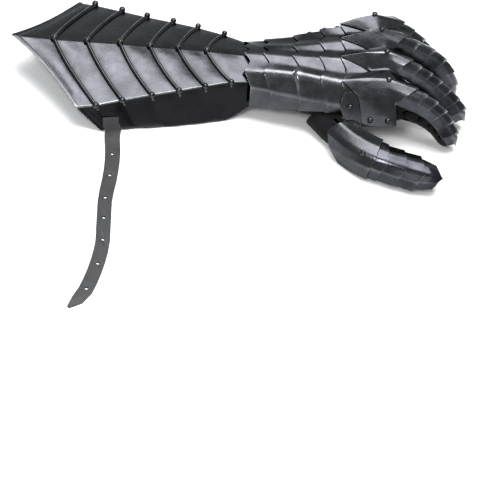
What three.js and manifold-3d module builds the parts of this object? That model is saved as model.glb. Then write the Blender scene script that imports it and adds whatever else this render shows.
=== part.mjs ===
// Armoured gauntlet for a left hand: an open steel cuff with six ribs, overlapping hand lames, a fluted
// knuckle plate, rows of finger and thumb scales, a suede glove inside, and leather straps. Millimetres.
// The layout frame has X from the flared rim to the fingertips, Y from the thumb side to the little
// finger side and Z up from the back of the hand. It leans on the ground by GROUND_SLOPE, and the whole
// group is turned level at the end.
import * as THREE from "three";
import { mergeVertices } from "three/addons/utils/BufferGeometryUtils.js";
import Module from "manifold-3d";

const wasm = await Module();
wasm.setup();

// Driving sizes
const GROUND_SLOPE = 0.17;
const GROUND_START_X = 107;
const CUFF_WALL = 1.2;
const LAME_WALL = 1.1;
const SCALE_WALL = 0.8;
const LAYER_GAP = 0.4;
const FINGER_EASE = 0.5;
const SUEDE_WALL = 1.8;
const RIB_WIDTH = 4.2;
const RIB_HEIGHT = 2.4;
const STUD_RADIUS = 3.5;
const STUD_LIFT = 1;
const RIVET_RADIUS = 3.2;
const RIVET_HEIGHT = 2.4;
const STRAP_WIDTH = 16;
const STRAP_THICKNESS = 2;
const PALM_STRAP_WIDTH = 10.5;
const PALM_STRAP_X = 318;
const SCALE_POINT = 8;
const SCALE_COVER = 5.5;
const SCALE_OUT = SCALE_WALL + 0.6;
const KNUCKLE_BULGE = 1.6;
const HAUNCH_LIFT = 0.8;
const BORDER_WIDTH = 8;
const BORDER_HEIGHT = 0.9;

const slopeAngle = Math.atan(GROUND_SLOPE);
const groundUp = new THREE.Vector3(Math.sin(slopeAngle), 0, Math.cos(slopeAngle));

const v3 = (x, y, z) => new THREE.Vector3(x, y, z);
const mix = (a, b, t) => a + (b - a) * t;
const groundZ = (x) => -GROUND_SLOPE * (x - GROUND_START_X);
const groundPoint = (x, y, height) => v3(x, y, groundZ(x)).addScaledVector(groundUp, height);

const finishes = {
  steel: { color: 0x4a4d52, metalness: 0.9, roughness: 0.35 },
  gloss: { color: 0x17181a, metalness: 0.9, roughness: 0.2 },
  suede: { color: 0x17171a, metalness: 0, roughness: 0.95 },
  leather: { color: 0x35363a, metalness: 0, roughness: 0.6 },
  nickel: { color: 0xb8b8b8, metalness: 1, roughness: 0.25 },
};

const group = new THREE.Group();

function addPiece(name, geometry, finish) {
  const mesh = new THREE.Mesh(geometry, new THREE.MeshStandardMaterial(finishes[finish]));
  mesh.name = name;
  group.add(mesh);
  return mesh;
}

// Solid helpers

function geometryOf(points, triangles) {
  const geometry = new THREE.BufferGeometry();
  const flat = points.flatMap((p) => [p.x, p.y, p.z]);
  geometry.setAttribute("position", new THREE.Float32BufferAttribute(flat, 3));
  geometry.setIndex(triangles);
  geometry.computeVertexNormals();
  return geometry;
}

function signedVolume(points, triangles) {
  let sum = 0;
  for (let i = 0; i < triangles.length; i += 3) {
    const [a, b, c] = [0, 1, 2].map((k) => points[triangles[i + k]]);
    sum += a.dot(v3(0, 0, 0).crossVectors(b, c)) / 6;
  }
  return sum;
}

function outwardGeometry(points, triangles) {
  if (signedVolume(points, triangles) < 0) triangles.reverse();
  return geometryOf(points, triangles);
}

function solidOf(geometry) {
  const plain = geometry.clone();
  plain.deleteAttribute("normal");
  plain.deleteAttribute("uv");
  const merged = mergeVertices(plain, 1e-4);
  return new wasm.Manifold(
    new wasm.Mesh({
      numProp: 3,
      vertProperties: new Float32Array(merged.attributes.position.array),
      triVerts: new Uint32Array(merged.index.array),
    }),
  );
}

function geometryFromSolid(solid) {
  const mesh = solid.getMesh();
  const points = [];
  for (let i = 0; i < mesh.numVert; i++) {
    const at = i * mesh.numProp;
    const [x, y, z] = mesh.vertProperties.slice(at, at + 3);
    points.push(v3(x, y, z));
  }
  return geometryOf(points, Array.from(mesh.triVerts));
}

// Offset direction of each grid point, long enough to keep the wall even across a fold.
function gridNormals(grid) {
  const rows = grid.length;
  const cols = grid[0].length;
  const faces = [];
  for (let i = 0; i < rows - 1; i++) {
    faces.push([]);
    for (let j = 0; j < cols - 1; j++) {
      const along = v3(0, 0, 0).subVectors(grid[i + 1][j + 1], grid[i][j]);
      const across = v3(0, 0, 0).subVectors(grid[i][j + 1], grid[i + 1][j]);
      faces[i].push(along.cross(across).normalize());
    }
  }
  return grid.map((row, i) =>
    row.map((_, j) => {
      const near = [];
      for (const [di, dj] of [[0, 0], [-1, 0], [0, -1], [-1, -1]]) {
        const face = faces[i + di]?.[j + dj];
        if (face) near.push(face);
      }
      const mean = near.reduce((sum, face) => sum.add(face), v3(0, 0, 0)).normalize();
      const least = Math.min(...near.map((face) => face.dot(mean)));
      return mean.multiplyScalar(1 / Math.max(least, 0.65));
    }),
  );
}

function offsetGrid(grid, distance) {
  const normals = gridNormals(grid);
  return grid.map((row, i) => row.map((p, j) => p.clone().addScaledVector(normals[i][j], distance(i, j))));
}

// Sheet of even wall: the grid is its outer face, rows run forwards and columns run towards +Y.
function sheetGeometry(grid, wall) {
  const rows = grid.length;
  const cols = grid[0].length;
  const inner = offsetGrid(grid, () => -wall);
  const points = [...grid.flat(), ...inner.flat()];
  const out = (i, j) => i * cols + j;
  const inn = (i, j) => rows * cols + i * cols + j;
  const triangles = [];
  const quad = (a, b, c, d) => triangles.push(a, b, c, a, c, d);
  for (let i = 0; i < rows - 1; i++) {
    for (let j = 0; j < cols - 1; j++) {
      quad(out(i, j), out(i + 1, j), out(i + 1, j + 1), out(i, j + 1));
      quad(inn(i, j), inn(i, j + 1), inn(i + 1, j + 1), inn(i + 1, j));
    }
    quad(out(i, 0), inn(i, 0), inn(i + 1, 0), out(i + 1, 0));
    quad(out(i + 1, cols - 1), inn(i + 1, cols - 1), inn(i, cols - 1), out(i, cols - 1));
  }
  for (let j = 0; j < cols - 1; j++) {
    quad(out(0, j + 1), inn(0, j + 1), inn(0, j), out(0, j));
    quad(out(rows - 1, j), inn(rows - 1, j), inn(rows - 1, j + 1), out(rows - 1, j + 1));
  }
  return outwardGeometry(points, triangles);
}

// Closed body through a list of rings of equal count, with a flat or pointed cap at each end.
function loftGeometry(rings) {
  const count = rings[0].length;
  const points = rings.flat();
  const triangles = [];
  for (let i = 0; i < rings.length - 1; i++) {
    for (let k = 0; k < count; k++) {
      const next = (k + 1) % count;
      const [a, b] = [i * count + k, i * count + next];
      const [c, d] = [(i + 1) * count + next, (i + 1) * count + k];
      triangles.push(a, b, c, a, c, d);
    }
  }
  for (const end of [0, rings.length - 1]) {
    const ring = rings[end];
    const centre = ring.reduce((sum, p) => sum.add(p), v3(0, 0, 0)).divideScalar(count);
    points.push(centre);
    for (let k = 0; k < count; k++) {
      const next = (k + 1) % count;
      const pair = end === 0 ? [end * count + next, end * count + k] : [end * count + k, end * count + next];
      triangles.push(points.length - 1, ...pair);
    }
  }
  return outwardGeometry(points, triangles);
}

function sampleTable(table, x) {
  const last = table.length - 1;
  let k = table.findIndex((row) => row[0] > x);
  if (k < 0) k = last;
  k = Math.max(k, 1);
  const t = (x - table[k - 1][0]) / (table[k][0] - table[k - 1][0]);
  return table[k].map((value, c) => mix(table[k - 1][c], value, t));
}

// Cuff: columns are the free edge, side ridge, medial ridge, far side ridge and free edge.
// freeX, freeY, freeZ, sideX, sideY, sideZ, medialX, medialZ, farX, farY, farZ
const CUFF_STATIONS = [
  [107, 80, 0, 79, 75.5, 28, 13, 57, 75, 81.5, 30.5],
  [118, 77, -1.9, 97.5, 72, 27.4, 54.8, 51.4, 91, 78, 30],
  [139, 71, -5.4, 123, 63.6, 26.8, 87, 48, 118.5, 70, 28.8],
  [163, 64.5, -9.5, 151.5, 56, 27, 119.5, 45.4, 144, 62, 27.8],
  [186, 57, -13.4, 178, 49, 26.6, 149, 41.3, 170.5, 55, 26.8],
  [209, 48.5, -17.3, 203.5, 41, 25.5, 176.7, 38.5, 195.5, 47, 26.4],
  [231, 38.5, -17, 229, 31.5, 22.5, 205, 35.2, 222, 37.5, 25],
  [250, 31, -7, 250, 26, 18, 250, 28.6, 247, 24, 17.2],
];
const FAR_EDGE_OUT = 4;
// How far the rim bends forwards and the ribs bend rearwards between two ridges, in stations.
const RIM_BOW = 0.19;
const RIB_BOW = -0.09;
const CUFF_SPLIT = 3;

function cuffStation(t) {
  const k = Math.min(Math.floor(t), CUFF_STATIONS.length - 2);
  return CUFF_STATIONS[k].map((value, c) => mix(value, CUFF_STATIONS[k + 1][c], t - k));
}

// Free edge, three ridges and free edge at one station.
function cuffCorners(t) {
  const [fx, fy, fz, sx, sy, sz, mx, mz, rx, ry, rz] = cuffStation(t);
  const farOut = FAR_EDGE_OUT * Math.min(1, 7 - t);
  return [v3(fx, -fy, fz), v3(sx, -sy, sz), v3(mx, 0, mz), v3(rx, ry, rz), v3(fx, fy + farOut, fz)];
}

// Points across the cuff at one station, from the thumb side free edge to the far free edge.
function cuffAcross(t) {
  const bow = t < 1 ? mix(RIM_BOW, RIB_BOW, t) : RIB_BOW * Math.min(1, 7 - t);
  const across = [];
  for (let k = 0; k < 4; k++) {
    for (let n = 0; n < CUFF_SPLIT; n++) {
      const share = n / CUFF_SPLIT;
      const corners = cuffCorners(t + (k === 1 || k === 2 ? bow * 4 * share * (1 - share) : 0));
      across.push(corners[k].clone().lerp(corners[k + 1], share));
    }
  }
  across.push(cuffCorners(t)[4]);
  return across;
}

function belowGround() {
  const block = new THREE.BoxGeometry(700, 900, 60);
  block.rotateY(slopeAngle);
  const centre = groundPoint(280, 0, -30);
  block.translate(centre.x, centre.y, centre.z);
  return solidOf(block);
}

const cuffRows = [0, (BORDER_WIDTH / 42) * 0.8, BORDER_WIDTH / 42, 1, 2, 3, 4, 5, 6, 7];
const cuffGrid = cuffRows.map((t) => {
  const row = cuffAcross(t);
  row[0].z -= t < 5.5 ? 4 : 0;
  row[row.length - 1].z -= t < 5.5 ? 4 : 0;
  return row;
});

function buildCuffPlate() {
  const raised = offsetGrid(cuffGrid, (i) => (i < 2 ? BORDER_HEIGHT : 0));
  const plate = solidOf(sheetGeometry(raised, CUFF_WALL)).subtract(belowGround());
  addPiece("cuff_plate", geometryFromSolid(plate), "steel");
}

// Rounded bar swept along a polyline that lies on a surface; up[i] is the surface direction there.
function barRings(path, ups, width, height, foot) {
  const shape = [[-0.5, 0], [-0.5, 0.45], [-0.25, 0.93], [0.25, 0.93], [0.5, 0.45], [0.5, 0]];
  return path.map((p, i) => {
    const before = path[Math.max(i - 1, 0)];
    const after = path[Math.min(i + 1, path.length - 1)];
    const along = v3(0, 0, 0).subVectors(after, before).normalize();
    const side = v3(0, 0, 0).crossVectors(ups[i], along).normalize();
    return shape.map(([s, h]) =>
      p.clone().addScaledVector(side, s * width).addScaledVector(ups[i], foot + h * height),
    );
  });
}

function buildRibs() {
  const split = CUFF_SPLIT;
  const clearance = solidOf(sheetGeometry(offsetGrid(cuffGrid, () => LAYER_GAP), CUFF_WALL + 5));
  for (let k = 1; k <= 6; k++) {
    const grid = [k - 0.15, k, k + 0.15].map((t) => cuffAcross(t));
    const normals = gridNormals(grid)[1];
    const row = grid[1];
    const last = row.length - 1;
    const path = row.slice(split - 1, last - split + 2);
    const ups = normals.slice(split - 1, last - split + 2);
    path[0].lerp(path[1], 0.5);
    path[path.length - 1].lerp(path[path.length - 2], 0.5);
    const size = mix(1, 0.85, (k - 1) / 5);
    let rib = solidOf(loftGeometry(barRings(path, ups, RIB_WIDTH * size, RIB_HEIGHT * size, 0)));
    for (const j of [split, 2 * split, 3 * split]) {
      const stud = new THREE.SphereGeometry(STUD_RADIUS * size, 8, 5);
      const at = row[j].clone().addScaledVector(normals[j].clone().normalize(), STUD_LIFT);
      stud.translate(at.x, at.y, at.z);
      rib = rib.add(solidOf(stud));
    }
    const [kept] = rib.subtract(clearance).decompose().sort((a, b) => b.volume() - a.volume());
    addPiece("cuff_rib_" + k, geometryFromSolid(kept.simplify(0.06)), "gloss");
  }
}

// Back of the hand: one row per station, with y and z of the near edge, near side, the four finger
// ridges with the valleys between them, the far side and the far edge.
const ARCH_STATIONS = [
  [236, -35, -2, -31, 17, -20, 28.5, -9, 31, 1, 33.5, 7, 32.8, 13, 31.4, 20, 28.8, 26, 25.4, 32, 12, 35, -2],
  [250, -36.5, -5, -32.5, 16, -21, 28.5, -9, 30.6, 1, 33.5, 7, 32.3, 13, 31.6, 20, 28.8, 28, 26.2, 34, 12, 37, -2],
  [290, -42, -6, -39, 8, -23, 28.5, -12, 28.8, -2, 32.5, 5, 31, 13, 32.5, 22, 29, 34, 28, 41, 14, 44, 0],
  [340, -48, -5, -46.5, 2, -31, 22.5, -17, 24, -4, 31, 8, 29, 21, 34, 32, 30.5, 43, 34.5, 52, 20, 55, 4],
  [388, -48, -10, -44, 2, -26, 19.5, -11, 20, 2.5, 31, 14, 28, 28, 37.5, 38, 32, 51, 38, 61, 20, 64, 4],
];
const ARCH_COLUMNS = 11;
const RIDGE_COLUMNS = [2, 4, 6, 8];

function archPoint(x, column) {
  const row = sampleTable(ARCH_STATIONS, x);
  return v3(x, row[1 + 2 * column], row[2 + 2 * column]);
}

// rear, front
const LAMES = [
  [242, 270],
  [261, 300],
  [290, 327],
  [317, 345],
  [338, 373],
];
const LAME_STEP = LAME_WALL + LAYER_GAP + 0.8;
const LAME_SCALLOP = 8;

function lameEdgeX(x, column) {
  if (column === 0 || column === ARCH_COLUMNS - 1) return x + LAME_SCALLOP * 0.6;
  return RIDGE_COLUMNS.includes(column) ? x : x + LAME_SCALLOP * 0.8;
}

function buildLames() {
  LAMES.forEach(([rear, front], k) => {
    const shares = [0, 0.5, 1];
    const grid = shares.map((share) => {
      const row = [];
      for (let c = 0; c < ARCH_COLUMNS; c++) {
        const start = lameEdgeX(rear, c);
        row.push(archPoint(mix(start, front, share), c));
      }
      return row;
    });
    const stepped = offsetGrid(grid, (i) => -LAME_STEP * shares[i]);
    addPiece("hand_lame_" + (k + 1), sheetGeometry(stepped, LAME_WALL), "steel");
  });
}

// Fingers: the path runs along the back of the finger, outside the scales. Scales start at arc length
// start; under and lean give the depth and the sideways shift of the suede below the middle line.
const FINGERS = {
  index: {
    path: [[372, -24.5, 22], [385, -25, 20.5], [399, -26.5, 16], [413, -28, 10.3], [424, -29.5, 5],
      [436.5, -31.5, -4.3], [447, -34.5, -15.6], [455.5, -37.5, -30], [460.5, -40, -44], [461.5, -41, -50]],
    half: 10.4, scales: 6, start: 43, under: 25, lean: 6,
  },
  middle: {
    path: [[370, 3, 34], [385, 3, 33], [397, 2.3, 29], [409, 1.3, 22.5], [421, 0.3, 15], [433.5, -0.7, 5.6],
      [444, -2, -4.4], [454, -3, -15], [462.5, -4, -25.5], [468.5, -5, -36], [471.5, -6, -48]],
    half: 10, scales: 7, start: 41, under: 17, lean: 0,
  },
  ring: {
    path: [[364, 28.5, 41], [380.5, 28.5, 40.5], [393, 29, 35.5], [408, 29.5, 28], [423, 30, 20],
      [437, 30, 11], [448, 30.5, -1], [455, 31, -13.5], [461, 31.5, -29.7], [464, 32, -45], [464.5, 32, -52]],
    half: 9.6, scales: 6, start: 42, under: 18, lean: 0,
  },
  little: {
    path: [[357, 51, 40.5], [374, 51.5, 40.5], [391, 54, 33], [408, 56.5, 22.5], [421, 58.5, 9],
      [432, 60, -5], [440, 61, -20], [444, 62, -34], [446, 62.5, -48]],
    half: 9, scales: 5, start: 50, under: 17, lean: 0,
  },
};
// The thumb path is its middle line.
const THUMB = {
  path: [[312, -29, -15], [324, -44, -21], [335, -58, -23], [347, -72, -25], [361, -84, -26.8],
    [374, -91, -28.8], [395, -97.5, -32.5], [416, -101.5, -37.5], [433, -103.5, -41.5]],
  half: 15, depth: 10.5, scales: 4, start: 84, middleLine: true, rootSwell: 0.1,
};
const BACK_OFFSET = 3.2;
const DIGIT_TAPER = 0.9;
const TIP_TAPER = 0.62;
// share of half width, share of half depth, share of the point
const FINGER_PROFILE = [[-1.24, -0.3, 0], [-0.78, 0.78, 0.4], [0, 1.28, 1], [0.78, 0.78, 0.4], [1.24, -0.3, 0]];
const THUMB_PROFILE = [[-1.24, -0.12, 0], [-0.72, 0.85, 0.4], [-0.16, 1.22, 0.82], [0, 1.26, 1],
  [0.16, 1.22, 0.82], [0.72, 0.85, 0.4], [1.24, -0.12, 0]];

function digitFrames(digit, sideways, count) {
  const curve = new THREE.CatmullRomCurve3(digit.path.map((p) => v3(...p)), false, "centripetal");
  const depth = digit.depth ?? digit.half;
  const frames = [];
  for (let i = 0; i <= count; i++) {
    const back = curve.getPointAt(i / count);
    const along = curve.getTangentAt(i / count);
    const side = sideways.clone().addScaledVector(along, -sideways.dot(along)).normalize();
    const up = v3(0, 0, 0).crossVectors(along, side).normalize();
    const drop = digit.middleLine ? 0 : depth * 1.26 + BACK_OFFSET;
    const centre = back.clone().addScaledVector(up, -drop);
    frames.push({ centre, along, side, up, s: (i / count) * curve.getLength() });
  }
  return frames;
}

function frameAt(frames, s) {
  const k = Math.min(Math.max(frames.findIndex((f) => f.s > s), 1), frames.length - 1);
  const [a, b] = s >= frames[frames.length - 1].s ? frames.slice(-2) : [frames[k - 1], frames[k]];
  const t = (s - a.s) / (b.s - a.s);
  const blend = (key) => a[key].clone().lerp(b[key], t);
  return { centre: blend("centre"), side: blend("side").normalize(), up: blend("up").normalize() };
}

function digitPoint(digit, frames, s, across, out) {
  const { centre, side, up } = frameAt(frames, s);
  const [v, w] = across;
  const depth = digit.depth ?? digit.half;
  return centre.addScaledVector(side, v * digit.half).addScaledVector(up, w * depth + out);
}

// Row of scales from start to finish along a digit; each one covers the rear of the next.
function buildScales(name, digit, frames, finish) {
  const profile = digit.middleLine ? THUMB_PROFILE : FINGER_PROFILE;
  const pitch = (finish - digit.start) / digit.scales;
  for (let k = 0; k < digit.scales; k++) {
    const rear = digit.start + k * pitch - SCALE_COVER;
    const front = digit.start + (k + 1) * pitch;
    const taper = mix(1, DIGIT_TAPER, k / (digit.scales - 1));
    const shares = [0, 0.5, 1];
    const grid = shares.map((share, i) =>
      profile.map(([v, w, point]) => {
        const back = (1 - point) * (k === 0 && i === 0 ? SCALE_POINT * 1.7 : SCALE_POINT);
        const size = taper * (k === digit.scales - 1 && i === 2 ? mix(1, TIP_TAPER, point) : 1);
        return digitPoint(digit, frames, mix(rear, front, share) - back, [v * size, w * size], SCALE_OUT);
      }),
    );
    const raise = SCALE_WALL + LAYER_GAP + 0.2;
    const lifted = offsetGrid(grid, (i) => raise * shares[i]);
    addPiece(name + "_scale_" + (k + 1), sheetGeometry(lifted, SCALE_WALL), "steel");
  }
}

const fingerFrames = {};
for (const [name, digit] of Object.entries(FINGERS)) {
  fingerFrames[name] = digitFrames(digit, v3(0, 1, 0), 40);
}
const thumbFrames = digitFrames(THUMB, v3(0, 0.8, 0.6), 40);

// Knuckle plate: the crest below each rivet and the valleys between the crests.
const KNUCKLES = [
  ["index", 386, -25, 20.5],
  ["middle", 385, 3, 33],
  ["ring", 380.5, 28.5, 40.3],
  ["little", 374, 51.5, 40.3],
];
const KNUCKLE_VALLEYS = [[386, -10.5, 21], [383, 14.5, 28.8], [377, 39, 32.4]];
// s along the two fingers beside each notch in the front edge
const KNUCKLE_NOTCHES = [[29, 27], [28, 29], [26, 33]];
const KNUCKLE_REAR_X = 338;
const NOTCH_X = 367;
const PLATE_LIFT = SCALE_OUT + SCALE_WALL + LAYER_GAP * 2 + LAME_WALL;

function knuckleColumns() {
  const front = (name, s, v, w, sideLift, upLift) => {
    const frames = fingerFrames[name];
    const { side, up } = frameAt(frames, s);
    const point = digitPoint(FINGERS[name], frames, s, [v, w], 0);
    return point.addScaledVector(side, sideLift).addScaledVector(up, upLift);
  };
  const columns = [
    { rear: v3(358, -57.2, -13), mid: v3(374, -57.4, -13.8), crest: v3(386, -57, -14.4),
      front: v3(392.5, -56, -14.6) },
    { rear: v3(357.5, -51.5, -2.2), mid: v3(374, -51.6, -2.8), crest: v3(386, -50.8, -3.4),
      front: v3(392.6, -49.4, -5) },
    { rear: v3(355, -42.5, 13.2), mid: v3(371, -41.5, 11.6), crest: v3(386, -40, 9.4),
      front: front("index", 27, -1.24, 0.1, -PLATE_LIFT, 1) },
  ];
  const halfway = (from, to) => ({
    rear: from.rear.clone().lerp(to.rear, 0.5).add(v3(0, 0, HAUNCH_LIFT)),
    mid: from.mid.clone().lerp(to.mid, 0.5).add(v3(0, 0, HAUNCH_LIFT)),
    crest: from.crest.clone().lerp(to.crest, 0.5),
  });
  const haunch = (name, edge, from, to) => ({
    ...halfway(from, to),
    front: front(name, FINGERS[name].start - 7, edge * 0.78, 0.8, edge * PLATE_LIFT * 0.55, PLATE_LIFT),
  });
  const farSide = [
    { rear: v3(KNUCKLE_REAR_X + 3, 54.8, 21.4), mid: v3(357, 62.8, 24.4), crest: v3(374, 68, 26),
      front: front("little", 33, 1.24, 0.1, PLATE_LIFT, 1) },
    { rear: v3(KNUCKLE_REAR_X + 5, 57.6, 6), mid: v3(357, 65, 8), crest: v3(374, 71, 9),
      front: v3(387, 73.5, 3) },
  ];
  const ridges = KNUCKLES.map(([name, x, y, z], k) => {
    const crest = v3(x, y, z);
    const rear = archPoint(KNUCKLE_REAR_X, RIDGE_COLUMNS[k]).add(v3(0, 0, LAME_WALL + LAYER_GAP * 2));
    const mid = rear.clone().lerp(crest, 0.5).add(v3(0, 0, KNUCKLE_BULGE));
    return { rear, mid, crest, front: front(name, FINGERS[name].start + 1.5, 0, 1.28, 0, PLATE_LIFT + 0.5) };
  });
  const valleys = KNUCKLE_VALLEYS.map((place, k) => {
    const crest = v3(...place);
    const rear = archPoint(NOTCH_X, RIDGE_COLUMNS[k] + 1);
    const [here, there] = KNUCKLE_NOTCHES[k];
    const beside = front(KNUCKLES[k][0], here, 1.24, 0.4, 0, PLATE_LIFT);
    beside.lerp(front(KNUCKLES[k + 1][0], there, -1.24, 0.4, 0, PLATE_LIFT), 0.5);
    return { rear, mid: rear.clone().lerp(crest, 0.5), crest, front: beside };
  });
  ridges.forEach((ridge, k) => {
    const near = k === 0 ? columns[2] : valleys[k - 1];
    const far = k === ridges.length - 1 ? farSide[0] : valleys[k];
    const name = KNUCKLES[k][0];
    columns.push(haunch(name, -1, near, ridge), ridge, haunch(name, 1, ridge, far), far);
  });
  columns.push(farSide[1]);
  return columns;
}

function buildKnucklePlate() {
  const columns = knuckleColumns();
  const rows = ["rear", "mid", "crest", "front"];
  const grid = rows.map((row) => columns.map((column) => column[row].clone()));
  addPiece("knuckle_plate", sheetGeometry(grid, LAME_WALL), "steel");
}

function buildSidePlate() {
  // columns run from the lower edge up to the shoulder below the index crest
  const grid = [
    [v3(344, -56, -10.5), v3(338, -51, -1.2), v3(336.5, -45.5, 7.5), v3(341, -38.5, 15)],
    [v3(353, -56, -12), v3(350, -50.6, -2.4), v3(349, -44, 7.3), v3(348, -38, 15)],
    [v3(362, -55.2, -12.6), v3(364, -49.4, -3), v3(362, -42, 6.8), v3(355, -37, 14.4)],
  ];
  addPiece("side_plate", sheetGeometry(grid, LAME_WALL), "steel");
}

function buildThumbRoot() {
  const shares = [0, 0.25, 0.5, 0.75, 1];
  const rear = [57, 44, 37, 36, 36, 38, 44];
  const grid = shares.map((share) =>
    THUMB_PROFILE.map(([v, w, point], c) => {
      const s = mix(rear[c], THUMB.start + 2 + 3 * point, share);
      return digitPoint(THUMB, thumbFrames, s, [v * 1.16, w], SCALE_WALL * 2 + LAYER_GAP * 2 + 1.2);
    }),
  );
  addPiece("thumb_root_plate", sheetGeometry(grid, LAME_WALL), "steel");
}

// Glove: palm sections as x, centre y, centre z, half width, half height, roll in degrees
const PALM_STATIONS = [
  [130, 0, 13.5, 55, 14.5, 0],
  [176, 0, 7.5, 41, 17, 0],
  [212, 0, 4, 30, 19, 0],
  [245, 0, 2.5, 25.5, 20, 0],
  [272, 0, 2, 31, 22.5, 2],
  [302, -1, -2, 37, 24, 4],
  [338, 1, -3, 42, 23, 8],
  [364, 4, -3.5, 44, 19.5, 10],
  [380, 3, -9, 45, 17, 9],
  [392, 2, -14, 43, 14, 8],
  [400, 2, -17, 37, 8, 8],
];

function palmRing(station, shrink, count) {
  const [x, cy, cz, halfWidth, halfHeight, roll] = station;
  const turn = THREE.MathUtils.degToRad(roll);
  const power = 2 / 2.4;
  const ring = [];
  for (let k = 0; k < count; k++) {
    const angle = (2 * Math.PI * k) / count;
    const [c, s] = [Math.cos(angle), Math.sin(angle)];
    const y = Math.sign(c) * Math.abs(c) ** power * (halfWidth - shrink);
    const z = Math.sign(s) * Math.abs(s) ** power * (halfHeight - shrink);
    ring.push(v3(x, cy + y * Math.cos(turn) - z * Math.sin(turn), cz + y * Math.sin(turn) + z * Math.cos(turn)));
  }
  return ring;
}

function palmGeometry(shrink, openBy, count) {
  const stations = PALM_STATIONS.map((row) => [...row]);
  stations[0][0] -= openBy;
  stations[stations.length - 1][0] -= shrink;
  return loftGeometry(stations.map((row) => palmRing(row, shrink, count)));
}

function digitTube(digit, frames, shrink, count) {
  const depth = digit.depth ?? digit.half;
  const under = digit.under ?? depth;
  const total = frames[frames.length - 1].s;
  const stops = 7;
  const rings = [];
  for (let i = 0; i <= stops; i++) rings.push([mix(digit.middleLine ? 4 : 10, total - depth * 0.9, i / stops), 1]);
  for (const [ahead, size] of [[0.5, 0.87], [0.85, 0.53], [0.98, 0.2]]) {
    rings.push([total - depth * 0.9 + ahead * (depth - shrink), size]);
  }
  return loftGeometry(
    rings.map(([s, size]) => {
      const { centre, side, up } = frameAt(frames, s);
      const bare = Math.min(Math.max((s - 32) / (total - 32), 0), 1);
      const narrow = mix(1, DIGIT_TAPER, bare) + (digit.rootSwell ?? 0) * Math.max(0, 1 - s / 40);
      const wide = (digit.half * narrow - FINGER_EASE - shrink) * size;
      const deep = (depth * narrow - shrink) * size;
      const low = (mix(under, depth * 0.85, bare) * narrow - shrink) * size;
      const lean = (digit.lean ?? 0) * (1 - bare) * size;
      const ring = [];
      for (let k = 0; k < count; k++) {
        const angle = (2 * Math.PI * k) / count;
        const rise = Math.sin(angle);
        const drift = rise < 0 ? lean * rise : 0;
        ring.push(
          centre.clone().addScaledVector(side, Math.cos(angle) * wide + drift)
            .addScaledVector(up, rise * (rise < 0 ? low : deep)),
        );
      }
      return ring;
    }),
  );
}

function gloveSolid(shrink, openBy, palmCount, digitCount) {
  let solid = solidOf(palmGeometry(shrink, openBy, palmCount));
  for (const [name, digit] of Object.entries(FINGERS)) {
    solid = solid.add(solidOf(digitTube(digit, fingerFrames[name], shrink, digitCount)));
  }
  return solid.add(solidOf(digitTube(THUMB, thumbFrames, shrink, digitCount)));
}

function buildGlove() {
  const cut = gloveSolid(0, 0, 26, 12).subtract(gloveSolid(SUEDE_WALL, 4, 20, 9));
  const [glove] = cut.decompose().sort((a, b) => b.volume() - a.volume());
  addPiece("glove", geometryFromSolid(glove), "suede");
}

// Straps: rows along the path, two columns across; up is the outer face direction.
function strapGeometry(path, ups, widths, thickness) {
  const curveRows = path.map((p, i) => {
    const before = path[Math.max(i - 1, 0)];
    const after = path[Math.min(i + 1, path.length - 1)];
    const along = v3(0, 0, 0).subVectors(after, before).normalize();
    const side = v3(0, 0, 0).crossVectors(ups[i], along).normalize();
    return [-0.5, 0.5].map((share) => p.clone().addScaledVector(side, share * widths[i]));
  });
  const points = [];
  curveRows.forEach((row, i) => {
    for (const p of row) points.push(p);
    for (const p of [...row].reverse()) points.push(p.clone().addScaledVector(ups[i], -thickness));
  });
  const rings = curveRows.map((_, i) => points.slice(i * 4, i * 4 + 4));
  return loftGeometry(rings);
}

function holeThrough(at, up, radius) {
  const drill = new THREE.CylinderGeometry(radius, radius, 20, 12);
  drill.applyQuaternion(new THREE.Quaternion().setFromUnitVectors(v3(0, 1, 0), up));
  drill.translate(at.x, at.y, at.z);
  return solidOf(drill);
}

// station and height share up the wall
const OUTSIDE_WALL_RUN = [[1.2, 0.55], [1, 0.33], [0.82, 0.1]];
const INSIDE_WALL_RUN = [[1.45, 0.6], [1.22, 0.42], [1.05, 0.25]];

// Path of a strap that hangs on a cuff wall, outside it or inside, and runs off along the ground.
function wallStrapPath(side, inside, groundRun) {
  const top = STRAP_THICKNESS + LAYER_GAP;
  const wallOut = v3(0.26, side * 0.95, 0.15).normalize();
  const wallUp = inside ? wallOut.clone().negate() : wallOut;
  const lift = inside ? top + CUFF_WALL + 0.6 : top;
  const path = [];
  const ups = [];
  for (const [t, share] of inside ? INSIDE_WALL_RUN : OUTSIDE_WALL_RUN) {
    const corners = cuffCorners(t);
    const [edge, ridge] = side < 0 ? [corners[0], corners[1]] : [corners[4], corners[3]];
    path.push(edge.lerp(ridge, share).addScaledVector(wallUp, lift));
    ups.push(wallUp.clone());
  }
  path.push(groundPoint(inside ? 112.4 : 113, side * (inside ? 72.6 : 84.5), top + (inside ? 1.4 : 0.8)));
  ups.push(v3(0, (inside ? -side : side) * 0.6, 0.8).normalize());
  for (const [gx, gy] of groundRun) {
    path.push(groundPoint(gx, side * gy, STRAP_THICKNESS));
    ups.push(groundUp.clone());
  }
  return { path, ups };
}

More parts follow.
